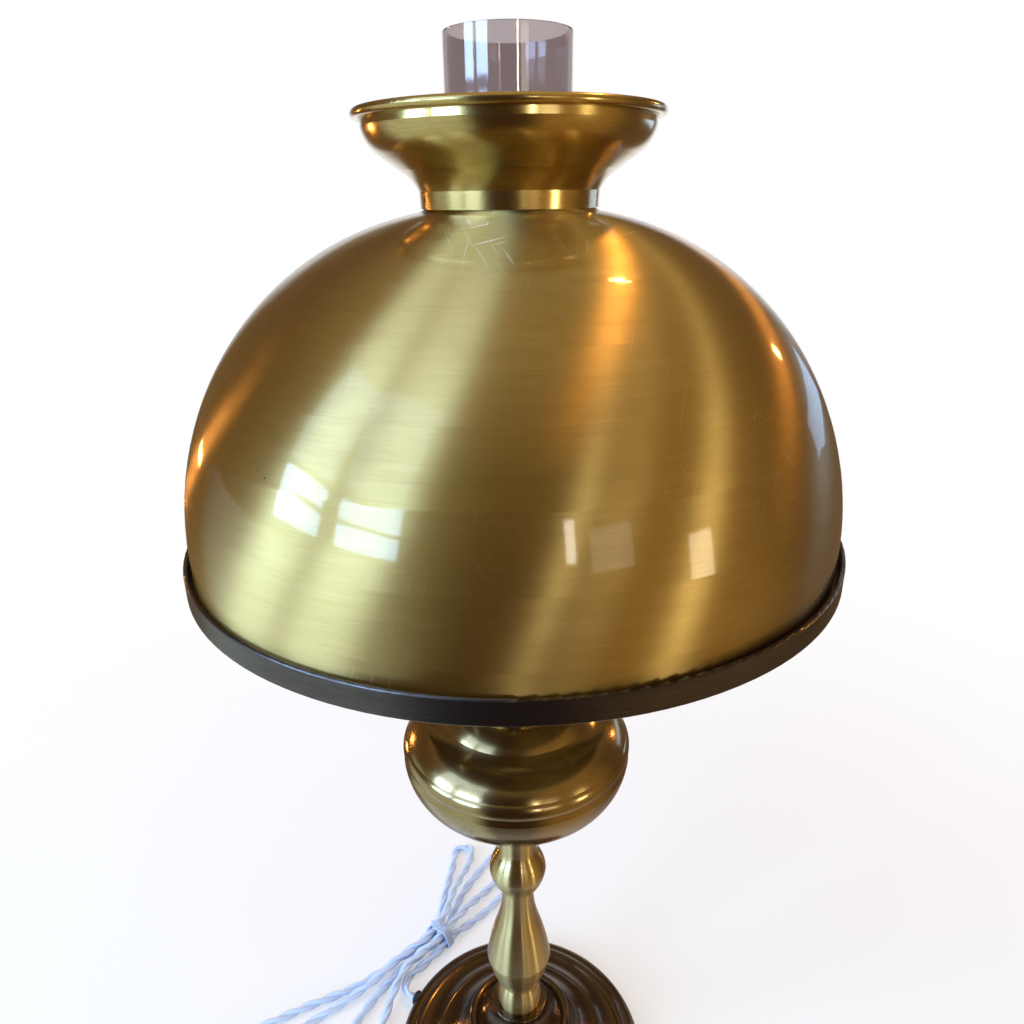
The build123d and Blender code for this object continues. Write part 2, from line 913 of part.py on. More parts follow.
def cord_tie():
    low, high = 5.2, 10.7
    corners = [(-pitch, low), (pitch, low), (pitch * 0.53, high), (-pitch * 0.53, high)]
    room = flex / 2 + 0.35
    inner = [Pos(x, z) * Edge.make_circle(room) for x, z in corners]
    outer = [Pos(x, z) * Edge.make_circle(room + tie_thickness) for x, z in corners]
    section = make_hull(outer) - make_hull(inner)
    along = Vector(cos(radians(waist_turn)), sin(radians(waist_turn)), 0)
    side = Vector(sin(radians(waist_turn)), -cos(radians(waist_turn)), 0)
    place = Plane(origin=waist - along * (tie_width / 2), x_dir=-side, z_dir=along)
    band = place * extrude(section, tie_width)
    knot_at = waist + Vector(0, 0, high + room + tie_thickness + 1.0)
    return band + Pos(*knot_at) * Sphere(2.4)


# Plug: strain relief, flat body and two pins, all in line with the tail's last run
tail_run = Vector(*tail_points[-1]) - Vector(*tail_points[-2])
plug_place = Pos(*tail_points[-1]) * Rot(0, 0, degrees(atan2(tail_run.Y, tail_run.X)))


def plug_relief():
    sleeve = turned(
        (flex / 2 + hair, 0),
        (relief_radius - 1.0, 0),
        (relief_radius, relief_length),
        (flex / 2 + hair, relief_length),
    )
    return plug_place * Rot(0, 90, 0) * sleeve


def plug_body():
    wide, back = plug_width / 2, plug_back / 2
    cheek = relief_length + plug_length * 0.55
    front = relief_length + plug_length
    outline = Polyline(
        (relief_length, -back),
        (cheek, -wide),
        (front, -wide),
        (front, wide),
        (cheek, wide),
        (relief_length, back),
        close=True,
    )
    slab = extrude(make_face(outline), plug_thickness / 2, both=True)
    slab = fillet(slab.edges().group_by(Axis.Z)[-1], 2.5)
    slab = fillet(slab.edges().group_by(Axis.Z)[0], 2.5)
    return plug_place * slab


def plug_pin(side):
    front = relief_length + plug_length
    y = side * pin_spacing / 2
    shank = rod(pin_radius, (front, y, 0), (front + pin_length - 1, y, 0))
    tip = rod(pin_radius - 0.5, (front + pin_length - 1, y, 0), (front + pin_length, y, 0))
    return plug_place * (shank + tip)


os.makedirs("parts", exist_ok=True)


def save(name, *solids):
    shape = solids[0] if len(solids) == 1 else Compound(children=[s for s in solids])
    export_step(shape, f"parts/{name}.step")


save("base_shell", base_shell())
save("base_weight", base_weight())
save("base_felt", felt())
save("cord_bush", cord_bush())
save("threaded_pipe", disc(pipe_radius, pipe_bottom, pipe_top, pipe_bore))
save("pipe_nuts", hex_nut(weight_hub - washer_height - nut_height), hex_nut(font_top + washer_height))
save("pipe_washers", washer(weight_hub - washer_height), washer(font_top))
save("stem_foot", stem_foot())
save("stem_vase", stem_vase())
save("stem_knop", stem_knop())
save("font_neck", font_neck())
save("font_lower", font_lower())
save("font_upper", font_upper())
save("font_collar", font_collar())
save("burner_body", burner_body())
save("burner_deck", burner_deck())
save("chimney_gallery", gallery())
save("switch_body", switch_body())
save("knob_shaft", knob_shaft())
save("switch_knob", knob())
save("shade_hub", shade_hub())
save("hub_screws", *[hub_screw(i) for i in range(arm_count)])
save("shade_arms", *[shade_arm(i) for i in range(arm_count)])
save("shade_ring", shade_ring())
save("shade_dome", shade_dome())
save("shade_crown", crown())
save("chimney", chimney())
save("holder_shell", holder_shell())
save("holder_core", holder_core())
save("holder_sleeve", holder_sleeve())
save("holder_contact", holder_contact())
save("bulb_cap", bulb_cap())
save("bulb_glass", bulb_glass())
save("bulb_filament", bulb_filament())
save("lead_inside", lead_inside())

for name, points in (("cord_lead", lead_points), ("cord_hank", hank_points), ("cord_tail", tail_points)):
    radii = corner_radii(points)
    solid, line = tube(flex / 2, points, radii)
    print(name, "length", round(line.length, 1), "radii", [round(r, 1) for r in radii])
    print(name, "volume", round(solid.volume, 1), "of", round(pi * flex**2 / 4 * line.length, 1))
    if name == "cord_hank":
        print(name, "least gap to itself", round(least_gap(line, flex / 2, 3.3 * flex), 2))
    save(name, solid)

save("cord_tie", cord_tie())
save("plug_relief", plug_relief())
save("plug_body", plug_body())
save("plug_pins", plug_pin(-1), plug_pin(1))
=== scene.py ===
import json
from math import cos, pi, radians, sin

import bpy
from mathutils import Matrix, Vector


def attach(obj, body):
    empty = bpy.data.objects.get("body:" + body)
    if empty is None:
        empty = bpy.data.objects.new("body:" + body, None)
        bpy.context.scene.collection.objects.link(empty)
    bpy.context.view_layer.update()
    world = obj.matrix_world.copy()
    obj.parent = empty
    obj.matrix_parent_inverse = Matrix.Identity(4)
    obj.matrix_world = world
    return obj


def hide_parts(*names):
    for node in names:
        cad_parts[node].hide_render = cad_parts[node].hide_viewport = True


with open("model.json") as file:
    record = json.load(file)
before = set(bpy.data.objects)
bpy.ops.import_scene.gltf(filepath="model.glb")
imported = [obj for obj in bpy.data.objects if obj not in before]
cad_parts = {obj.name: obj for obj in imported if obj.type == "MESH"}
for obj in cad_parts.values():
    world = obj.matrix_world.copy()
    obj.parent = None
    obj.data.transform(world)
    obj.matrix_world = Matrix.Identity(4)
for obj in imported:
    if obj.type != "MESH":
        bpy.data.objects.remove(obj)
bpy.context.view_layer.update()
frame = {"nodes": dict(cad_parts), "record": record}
nodes = frame["nodes"]
scene = bpy.context.scene
scene.view_settings.view_transform = "Standard"

MM = 0.001
white = (1.0, 1.0, 1.0)


# Shader trees

class Shader:
    """A node tree with short ways to add what the materials here are made of."""

    def __init__(self, tree):
        self.tree = tree
        tree.nodes.clear()

    def put(self, socket, value):
        if isinstance(value, bpy.types.Node):
            value = value.outputs[0]
        if isinstance(value, bpy.types.NodeSocket):
            self.tree.links.new(value, socket)
        elif hasattr(value, "__len__") and len(value) == 3 and len(socket.default_value) == 4:
            socket.default_value = (*value, 1.0)
        else:
            socket.default_value = value

    def add(self, kind, sockets=None, **settings):
        node = self.tree.nodes.new(kind)
        for name, value in settings.items():
            setattr(node, name, value)
        for name, value in (sockets or {}).items():
            self.put(node.inputs[name], value)
        return node

    def math(self, operation, *values, clamp=False):
        sockets = dict(enumerate(values))
        return self.add("ShaderNodeMath", sockets, operation=operation, use_clamp=clamp).outputs[0]

    def vector(self, x, y, z):
        return self.add("ShaderNodeCombineXYZ", {0: x, 1: y, 2: z}).outputs[0]

    def parts(self, vector):
        return self.add("ShaderNodeSeparateXYZ", {0: vector}).outputs

    def mix(self, factor, a, b):
        """A blend of two colours, whose sockets are the Mix node's seventh and eighth."""
        return self.add("ShaderNodeMix", {0: factor, 6: a, 7: b}, data_type="RGBA").outputs[2]

    def noise(self, vector, scale, detail=2.0, roughness=0.5, w=None):
        sockets = {"Vector": vector, "Scale": scale, "Detail": detail, "Roughness": roughness}
        if w is None:
            return self.add("ShaderNodeTexNoise", sockets).outputs[0]
        node = self.add("ShaderNodeTexNoise", noise_dimensions="4D")
        for name, value in (sockets | {"W": w}).items():
            self.put(node.inputs[name], value)
        return node.outputs[0]

    def ramp(self, value, *stops):
        node = self.add("ShaderNodeValToRGB", {0: value})
        band = node.color_ramp
        while len(band.elements) < len(stops):
            band.elements.new(1.0)
        for element, (at, colour) in zip(band.elements, stops):
            element.position = at
            colour = (colour,) * 3 if isinstance(colour, float) else colour
            element.color = (*colour, 1.0)
        return node.outputs[0]

    def fade(self, value, start, end, first, last, smooth=False):
        """From the first number to the last as the value goes from start to end."""
        kind = "SMOOTHSTEP" if smooth else "LINEAR"
        sockets = {0: value, 1: start, 2: end, 3: first, 4: last}
        return self.add("ShaderNodeMapRange", sockets, interpolation_type=kind).outputs[0]

    def spread(self, value, gain, middle, clamp=False):
        """A value round a half, as much round another middle."""
        return self.math("MULTIPLY_ADD", self.math("SUBTRACT", value, 0.5), gain, middle, clamp=clamp)

    def bump(self, height, strength, distance, normal=None):
        sockets = {"Height": height, "Strength": strength, "Distance": distance}
        if normal is not None:
            sockets["Normal"] = normal
        return self.add("ShaderNodeBump", sockets).outputs[0]

    def place(self):
        """The point in the lamp's own frame, in metres."""
        return self.add("ShaderNodeTexCoord").outputs["Object"]

    def turned(self, along, across):
        """Where noise runs in lines round the lamp's axis: its vector and its fourth number."""
        x, y, z = self.parts(self.place())
        flat = self.vector(x, y, 0.0)
        radius = self.add("ShaderNodeVectorMath", {0: flat}, operation="LENGTH").outputs["Value"]
        turn_x = self.math("MULTIPLY", self.math("DIVIDE", x, radius), along)
        turn_y = self.math("MULTIPLY", self.math("DIVIDE", y, radius), along)
        high = self.math("MULTIPLY", z, across)
        wide = self.math("MULTIPLY", radius, across)
        return self.vector(turn_x, high, wide), turn_y

    def finish(self, sockets, normal=None):
        shader = self.add("ShaderNodeBsdfPrincipled", sockets)
        if normal is not None:
            self.put(shader.inputs["Normal"], normal)
        self.add("ShaderNodeOutputMaterial", {0: shader})


materials = {}


def material(name):
    made = bpy.data.materials.new(name)
    made.use_nodes = True
    materials[name] = made
    return Shader(made.node_tree)


# Camera: in front of the lamp and above it, as the photograph was taken

photo_width = 1024
focal_length = 783.9
camera_place = (0, -0.30996, 0.46902)
camera_pan, camera_tilt, camera_roll = 0.112, 67.987, -0.736

camera = bpy.data.objects.new("camera", bpy.data.cameras.new("camera"))
scene.collection.objects.link(camera)
camera.data.sensor_width = 36.0
camera.data.lens = 36.0 * focal_length / photo_width
camera.data.clip_start = 0.02
aim = Matrix.Rotation(radians(camera_pan), 4, "Z") @ Matrix.Rotation(radians(camera_tilt), 4, "X")
roll = Matrix.Rotation(radians(camera_roll), 4, "Z")
camera.matrix_world = Matrix.Translation(camera_place) @ aim @ roll
scene.camera = camera


# Meshes

def spline_points(points, resolution=12):
    """Points along the smooth line that has these as its control points."""
    curve = bpy.data.curves.new("route", "CURVE")
    curve.dimensions = "3D"
    curve.resolution_u = resolution
    spline = curve.splines.new("NURBS")
    spline.points.add(len(points) - 1)
    for target, point in zip(spline.points, points):
        target.co = (*point, 1.0)
    spline.order_u = 3
    spline.use_endpoint_u = True
    holder = bpy.data.objects.new("route", curve)
    scene.collection.objects.link(holder)
    bpy.context.view_layer.update()
    mesh = bpy.data.meshes.new_from_object(holder)
    found = [v.co.copy() for v in mesh.vertices]
    bpy.data.objects.remove(holder)
    bpy.data.curves.remove(curve)
    bpy.data.meshes.remove(mesh)
    return found


def frames(points):
    """At each point of a line: its direction, and a side that turns as little as it can."""
    count = len(points)
    ways = []
    for i in range(count):
        before, after = points[max(i - 1, 0)], points[min(i + 1, count - 1)]
        ways.append((after - before).normalized())
    side = Vector((0, 0, 1)).cross(ways[0])
    side = side.normalized() if side.length > 1e-6 else Vector((1, 0, 0))
    found = []
    for way in ways:
        side = (side - way * side.dot(way)).normalized()
        found.append((way, side, way.cross(side)))
    return found


def object_from(name, points, faces, sharp_angle=None):
    mesh = bpy.data.meshes.new(name)
    mesh.from_pydata(points, [], faces)
    mesh.validate()
    mesh.shade_smooth()
    if sharp_angle is not None:
        mesh.set_sharp_from_angle(angle=radians(sharp_angle))
    made = bpy.data.objects.new(name, mesh)
    scene.collection.objects.link(made)
    return made


def tubes(name, strands, sides=10):
    """Round strands in one mesh: each is its line and its radius. UV runs in metres."""
    points, faces, places = [], [], []
    for line, radius in strands:
        first, run = len(points), 0.0
        for i, (point, (_, side, up)) in enumerate(zip(line, frames(line))):
            run += (point - line[i - 1]).length if i else 0.0
            for k in range(sides):
                at = 2 * pi * k / sides
                points.append(point + (side * cos(at) + up * sin(at)) * radius)
            if i:
                row = first + (i - 1) * sides
                step = (point - line[i - 1]).length
                for k in range(sides):
                    after = (k + 1) % sides
                    faces.append((row + k, row + after, row + sides + after, row + sides + k))
                    v = [2 * pi * radius * t / sides for t in (k, k + 1, k + 1, k)]
                    u = [run - step, run - step, run, run]
                    places += list(zip(u, v))
        last = len(points) - sides
        start_cap = list(range(first + sides - 1, first - 1, -1))
        end_cap = list(range(last, last + sides))
        for cap in (start_cap, end_cap):
            faces.append(tuple(cap))
            places += [(0.0, 0.0)] * sides
    made = object_from(name, points, faces)
    layer = made.data.uv_layers.new(name="UVMap")
    for corner, place in zip(layer.data, places):
        corner.uv = place
    return made


def lathe(name, outline, segments=192, sharp_angle=40):
    """A closed outline of (radius, height) in millimetres, turned about Z."""
    points, faces = [], []
    count = len(outline)
    for i in range(segments):
        at = 2 * pi * i / segments
        for r, h in outline:
            points.append((r * cos(at) * MM, r * sin(at) * MM, h * MM))
    for i in range(segments):
        here, there = i * count, (i + 1) % segments * count
        for k in range(count):
            after = (k + 1) % count
            faces.append((here + k, there + k, there + after, here + after))
    return object_from(name, points, faces, sharp_angle)


# The flex: one route from the bush in the rim, through the tied hank, to the plug

lead = [
    (-64.9, 31.0, 4.8), (-70.0, 33.4, 4.8), (-72.6, 38.8, 4.0), (-71.2, 46.3, 3.3),
    (-63.5, 52.8, 3.1), (-57.2, 59.2, 4.1),
]
hank = [
    (-50.7, 65.7, 5.2), (-45.6, 74.2, 5.2), (-37.7, 81.0, 4.2), (-26.7, 90.7, 3.1),
    (-17.7, 100.8, 2.9), (-9.1, 111.7, 2.9), (-0.5, 119.6, 2.9), (-11.8, 126.6, 2.9),
    (-19.8, 116.2, 3.1), (-27.3, 106.5, 4.5), (-34.7, 97.1, 7.3), (-45.6, 79.1, 10.7),
    (-54.4, 65.8, 10.7), (-65.6, 56.9, 9.9), (-74.1, 47.1, 8.7), (-78.3, 35.7, 6.6),
    (-81.7, 21.9, 3.5), (-84.7, 4.5, 2.9), (-90.4, -24.0, 2.9), (-101.4, -59.3, 2.9),
    (-120.2, -92.2, 2.9), (-152.8, -114.1, 2.9), (-189.0, -114.0, 2.9), (-219.0, -92.0, 2.9),
    (-225.5, -53.0, 2.9), (-201.0, -16.4, 2.9), (-164.7, 10.1, 2.9), (-130.2, 28.0, 2.9),
    (-102.7, 39.4, 2.9), (-84.4, 53.3, 3.3), (-62.4, 71.2, 5.2), (-54.1, 83.9, 5.2),
    (-53.4, 102.6, 3.5), (-52.2, 114.0, 2.9), (-49.9, 127.1, 2.9), (-48.0, 140.8, 2.9),
    (-47.7, 153.3, 2.9), (-34.4, 154.1, 2.9), (-35.2, 141.7, 2.9), (-39.0, 129.2, 5.2),
    (-43.8, 115.6, 8.0), (-47.0, 104.2, 9.6), (-50.3, 84.3, 10.7), (-61.3, 67.7, 10.7),
    (-78.1, 55.3, 9.6), (-91.2, 41.1, 7.3), (-112.6, 26.5, 2.9), (-137.4, 10.3, 2.9),
    (-165.1, -14.6, 2.9), (-181.2, -46.6, 2.9), (-169.6, -75.4, 2.9), (-139.3, -80.1, 2.9),
    (-118.0, -52.4, 2.9), (-110.2, -17.0, 2.9), (-101.7, 11.7, 2.9), (-93.3, 27.9, 2.9),
    (-83.6, 42.9, 2.9), (-71.9, 56.4, 3.5), (-59.1, 64.8, 5.2), (-47.6, 82.5, 5.2),
    (-43.2, 100.7, 3.8), (-39.3, 111.7, 2.9), (-31.5, 125.6, 2.9), (-23.1, 138.9, 2.9),
    (-18.6, 145.3, 2.9),
]
tail = [
    (-14.9, 151.3, 2.9), (-7.2, 162.3, 2.9), (2.6, 171.8, 2.9), (16.1, 178.4, 2.9),
    (30.1, 182.4, 2.9), (40.1, 190.6, 2.9), (41.1, 202.2, 2.9), (32.1, 210.8, 2.9),
    (14.1, 212.9, 2.9), (-5.9, 210.8, 2.9), (-25.9, 211.6, 2.9), (-44.9, 214.7, 2.9),
    (-54.9, 222.8, 2.9), (-54.9, 234.4, 2.9), (-44.9, 242.2, 2.9), (-25.9, 243.5, 2.9),
    (-3.9, 240.9, 2.9), (17.1, 241.3, 2.9), (37.1, 244.3, 2.9), (47.1, 252.5, 2.9),
    (47.1, 264.1, 4.2), (37.6, 271.8, 6.9), (22.1, 273.1, 6.9),
]
flex = 5.4 * MM
strand_radius = 1.46 * MM
strand_pitch = 27 * MM
strand_count = 2
route = [Vector(p) * MM for p in lead + hank + tail]


def twisted(line, offset, pitch, count):
    """The lines of strands that wind round a line."""
    strands = [[] for _ in range(count)]
    run = 0.0
    for i, (point, (_, side, up)) in enumerate(zip(line, frames(line))):
        run += (point - line[i - 1]).length if i else 0.0
        for k in range(count):
            at = 2 * pi * (run / pitch + k / count)
            strands[k].append(point + (side * cos(at) + up * sin(at)) * offset)
    return strands


centre = spline_points(route)
strand_lines = twisted(centre, flex / 2 - strand_radius, strand_pitch, strand_count)
cord = tubes("flex", [(line, strand_radius) for line in strand_lines])
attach(cord, "lamp")
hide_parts("cord_lead", "cord_hank", "cord_tail")


# The tie: thread wound round the five runs at the waist, knotted on top

waist = Vector((-53.3, 73.6, 0)) * MM
heading = radians(57)
along = Vector((cos(heading), sin(heading), 0))
across = Vector((-along.y, along.x, 0))
thread_radius, knot_radius, end_radius = 0.7 * MM, 0.65 * MM, 0.5 * MM
thread_room = 3.6
thread_turns, turn_points = 4, 48
thread_start, thread_pitch = -2.2 * MM, 1.42 * MM
knot_height, knot_points = 14.8, 72
knot_spread, knot_rise = 0.62, 0.6
runs_outline = [(-6.2, 5.2), (6.2, 5.2), (3.3, 10.7), (-3.3, 10.7)]


def wound():
    """Thread round the runs: the furthest point of their outline each way, and a bit more."""
    line = []
    for i in range(thread_turns * turn_points + 1):
        at = radians(90) + 2 * pi * i / turn_points
        way = Vector((cos(at), sin(at)))
        corner = max(runs_outline, key=lambda c: c[0] * way.x + c[1] * way.y)
        flat = (Vector(corner) + way * thread_room) * MM
        forward = thread_start + thread_pitch * i / turn_points
        line.append(waist + across * flat.x + Vector((0, 0, flat.y)) + along * forward)
    return line


def knotted(middle):
    """A trefoil, which is an overhand knot with its ends joined."""
    line = []
    for i in range(knot_points + 1):
        at = 2 * pi * i / knot_points
        swing = Vector((sin(at) + 2 * sin(2 * at), cos(at) - 2 * cos(2 * at), -sin(3 * at)))
        flat = (across * swing.x + along * swing.y) * knot_spread * MM
        line.append(middle + flat + Vector((0, 0, swing.z * knot_rise * MM)))
    return line


def loose_end(middle, way, reach):
    """An end of the thread that falls from the knot to one side."""
    up = Vector((0, 0, MM))
    return spline_points(
        [
            middle,
            middle + (across * 3 * way + along * 1.5) * MM + up * 0.8,
            middle + (across * 6 * way + along * 3) * MM - up * 2.0,
            middle + (across * reach * way + along * 4.5) * MM - up * 6.0,
        ]
    )


knot_middle = waist + Vector((0, 0, knot_height * MM))
loose_ends = [loose_end(knot_middle, 1, 10), loose_end(knot_middle, -1, 8)]
tie = tubes(
    "tie",
    [(wound(), thread_radius), (knotted(knot_middle), knot_radius)]
    + [(end, end_radius) for end in loose_ends],
    sides=8,
)
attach(tie, "lamp")
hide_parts("cord_tie")


# Light: a pale room that is darker on the camera's side, with windows and two warm lamps

wall_dim, wall_dark, wall_glow = (0.17, 0.1, 0.045), (0.055, 0.025, 0.008), (0.4, 0.24, 0.08)
table_lit = (0.72, 0.82, 0.72)
ceiling = (0.6, 0.46, 0.22)
ambient = 0.62


def surroundings(shader, azimuth, height, low=False):
    """The room's tone by direction, in turns from the back round to the back again,
    with the white backdrop behind the lamp as far up as the camera sees it. Low down,
    the windows light what is in front of them."""
    place = shader.math("MULTIPLY_ADD", azimuth, 0.5 / pi, 0.5)
    lit = table_lit if low else wall_dim
    walls = shader.ramp(
        place,
        (0.0, wall_dim), (0.17, wall_dim), (0.22, lit), (0.39, lit), (0.43, wall_dark),
        (0.54, wall_dark), (0.59, wall_glow), (0.72, wall_glow), (0.78, wall_dim), (1.0, wall_dim),
    )
    above = shader.fade(height, 0.45, 0.98, 0.0, 1.0, smooth=True)
    tone = shader.mix(above, walls, ceiling)
    back = shader.ramp(place, (0.0, 1.0), (0.06, 1.0), (0.09, 0.0), (0.91, 0.0), (0.94, 1.0))
    under = shader.fade(height, 0.16, 0.26, 1.0, 0.0)
    return shader.mix(shader.math("MULTIPLY", back, under), tone, white)


def azimuth_of(shader, x, y):
    return shader.math("ARCTAN2", x, shader.math("MULTIPLY", y, -1.0))


def studio_world():
    """Plain light on the object, the room in its reflections, and white behind it."""
    world = bpy.data.worlds.new("studio")
    world.use_nodes = True
    scene.world = world
    s = Shader(world.node_tree)
    x, y, z = s.parts(s.add("ShaderNodeTexCoord").outputs["Generated"])
    room = surroundings(s, azimuth_of(s, x, y), z)
    ray = s.add("ShaderNodeLightPath").outputs
    plain = s.add("ShaderNodeBackground", {"Color": white, "Strength": ambient})
    clear = s.add("ShaderNodeBackground", {"Color": white, "Strength": 1.0})
    reflected = s.add("ShaderNodeBackground", {"Color": room, "Strength": 1.0})
    lit = s.add("ShaderNodeMixShader", {0: ray["Is Glossy Ray"], 1: plain, 2: reflected})
    seen = s.math("MAXIMUM", ray["Is Camera Ray"], ray["Is Transmission Ray"])
    s.add("ShaderNodeOutputWorld", {0: s.add("ShaderNodeMixShader", {0: seen, 1: lit, 2: clear})})


studio_world()

window_target = Vector((0, 0, 0.4))
window_distance = 2.6


def window(name, azimuth, height, width, tall, level, colour):
    """A softbox by direction from the shade: its middle and its size in degrees."""
    turn, tilt = radians(azimuth), radians(height)
    way = Vector((sin(turn) * cos(tilt), -cos(turn) * cos(tilt), sin(tilt)))
    light = bpy.data.lights.new(name, "AREA")
    light.shape = "RECTANGLE"
    light.size = window_distance * radians(width)
    light.size_y = window_distance * radians(tall)
    light.energy = level * pi * light.size * light.size_y
    light.color = colour
    made = bpy.data.objects.new(name, light)
    scene.collection.objects.link(made)
    facing = way.to_track_quat("Z", "Y").to_matrix().to_4x4()
    made.matrix_world = Matrix.Translation(window_target + way * window_distance) @ facing
    made.visible_camera = False


day, warm = (0.6, 0.95, 1.5), (1.0, 0.45, 0.12)
for name, azimuth, height, width, tall, level, colour in (
    ("window_left_top", -71, 13, 18, 7.6, 11.0, day),
    ("window_left_low", -71, 5.2, 18, 6, 11.0, day),
    ("window_left_high", -71, 33, 19, 30, 2.4, day),
    ("window_mid_top", -45.5, 13.4, 21, 8, 11.0, day),
    ("window_mid_low", -45.5, 5, 21, 6.6, 12.0, day),
    ("window_mid_high", -45.5, 35, 21, 32, 1.8, day),
    ("window_right", 29.5, 6, 13, 13, 2.2, (1.0, 0.92, 0.75)),
    ("strip_right", 17, 9, 3, 12, 16.0, (1.0, 0.94, 0.8)),
    ("window_side", 58, -2, 8, 12, 10.0, (1.0, 0.88, 0.62)),
    ("window_back", 131, -1, 23, 8, 1.2, day),
    ("lamp_back", 135, 56, 4, 4, 150.0, warm),
    ("lamp_right", 128, 14, 2.5, 2.5, 80.0, warm),
    ("lamp_left", -128, -6, 4, 3, 75.0, warm),
):
    window(name, azimuth, height, width, tall, level, colour)


# Floor: pale near the lamp, where it takes the shadow, and white further off

floor_half = 12.0
h = floor_half
floor = object_from("floor", [(-h, -h, 0), (h, -h, 0), (h, h, 0), (-h, h, 0)], [(0, 1, 2, 3)])


def floor_material():
    s = material("floor_white")
    x, y, _ = s.parts(s.place())
    squares = s.math("ADD", s.math("MULTIPLY", x, x), s.math("MULTIPLY", y, y))
    reach = s.math("SQRT", squares)
    ray = s.add("ShaderNodeLightPath").outputs
    matte = s.add("ShaderNodeBsdfDiffuse", {"Color": (0.95, 0.955, 0.945)})
    glow = s.add("ShaderNodeEmission", {"Color": white, "Strength": 1.0})
    # In reflections the far floor glows with the room's tones by direction, with a painted pool of window
    # light on its left.
    room = surroundings(s, azimuth_of(s, x, y), 0.0, low=True)
    reflected = s.add("ShaderNodeEmission", {"Color": room, "Strength": 1.0})
    away = s.fade(reach, 0.25, 0.75, 0.4, 1.0, smooth=True)
    seen = s.math("MAXIMUM", ray["Is Camera Ray"], ray["Is Transmission Ray"])
    shown = s.add("ShaderNodeMixShader", {0: s.math("MULTIPLY", seen, away), 1: matte, 2: glow})
    far = s.fade(reach, 0.0, 0.3, 0.45, 1.0, smooth=True)
    glossy = s.math("MULTIPLY", ray["Is Glossy Ray"], far)
    s.add("ShaderNodeOutputMaterial", {0: s.add("ShaderNodeMixShader", {0: glossy, 1: shown, 2: reflected})})


floor_material()
floor.data.materials.append(materials["floor_white"])


# Metals

scratch_directions = ((0.2, 3.0), (1.3, 8.0), (-0.9, 21.0))
bare_metal, pit_dirt = (0.85, 0.8, 0.66), (0.03, 0.02, 0.012)


def scratches(s, point):
    """Fine straight scratches in three directions, in some places only."""
    x, y, z = s.parts(point)
    worn = 0.0
    for lean, seed in scratch_directions:
        run = s.math("ADD", s.math("MULTIPLY", x, cos(lean)), s.math("MULTIPLY", z, sin(lean)))
        side = s.math("SUBTRACT", s.math("MULTIPLY", z, cos(lean)), s.math("MULTIPLY", x, sin(lean)))
        long = s.vector(s.math("MULTIPLY", run, 55.0), s.math("MULTIPLY", side, 2200.0), seed)
        line = s.noise(long, 1.0, 0.0, w=s.math("MULTIPLY", y, 40.0))
        worn = s.math("MAXIMUM", worn, s.ramp(line, (0.74, 0.0), (0.79, 1.0)))
    where = s.ramp(s.noise(point, 14.0, 2.0, w=5.0), (0.5, 0.0), (0.6, 1.0))
    return s.math("MULTIPLY", worn, where)


def pits(s, point):
    """Small dark pits, in a few places."""
    cells = s.add("ShaderNodeTexVoronoi", {"Vector": point, "Scale": 330.0}).outputs["Distance"]
    cells = s.math("MULTIPLY_ADD", s.noise(point, 900.0, 2.0), 0.3, cells)
    where = s.ramp(s.noise(point, 22.0, 1.0, w=11.0), (0.66, 0.0), (0.7, 1.0))
    return s.math("MULTIPLY", s.ramp(cells, (0.2, 1.0), (0.25, 0.0)), where)


def metal(
    name, light, dark, rough, lines=0.35, grain=1500.0, sweep=9.0, wear=0.35,
    coat=0.0, stretch=0.0, cast=0.0, rotate=0.0, marks=0.0,
):
    """Spun metal: lines from the lathe, tarnish in soft patches, and on some pieces marks of use."""
    s = material(name)
    point = s.place()
    vector, w = s.turned(sweep, grain)
    fine = s.noise(vector, 1.0, 2.0, 0.6, w=w)
    vector, w = s.turned(sweep * 0.4, grain * 0.16)
    broad = s.noise(vector, 1.0, 2.0, 0.5, w=w)
    patches = s.noise(point, 26.0, 4.0, 0.6)
    tone = s.spread(fine, lines, 0.5)
    tone = s.spread(broad, lines * 0.6, tone)
    tone = s.spread(patches, wear, tone, clamp=True)
    colour = s.ramp(tone, (0.2, dark), (0.8, light))
    worn = 0.0
    if marks:
        worn = s.math("MULTIPLY", scratches(s, point), marks)
        colour = s.mix(worn, colour, bare_metal)
        colour = s.mix(pits(s, point), colour, pit_dirt)
    dull = s.math("MULTIPLY_ADD", s.math("SUBTRACT", 0.5, tone), 0.25, rough)
    dull = s.spread(fine, 0.12 * lines, dull)
    dull = s.math("MULTIPLY_ADD", worn, 0.3, dull, clamp=True)
    normal = s.bump(fine, 0.25 * lines, 0.00005)
    if cast:
        normal = s.bump(s.noise(point, 700.0, 3.0, 0.6), cast, 0.0006, normal)
    sockets = {"Base Color": colour, "Metallic": 1.0, "Roughness": dull}
    if coat:
        sockets |= {"Coat Weight": coat, "Coat Roughness": 0.06, "Coat IOR": 1.45}
    if stretch:
        sockets |= {"Anisotropic": stretch, "Anisotropic Rotation": rotate}
        sockets["Tangent"] = s.add("ShaderNodeTangent", direction_type="RADIAL", axis="Z")
    s.finish(sockets, normal)


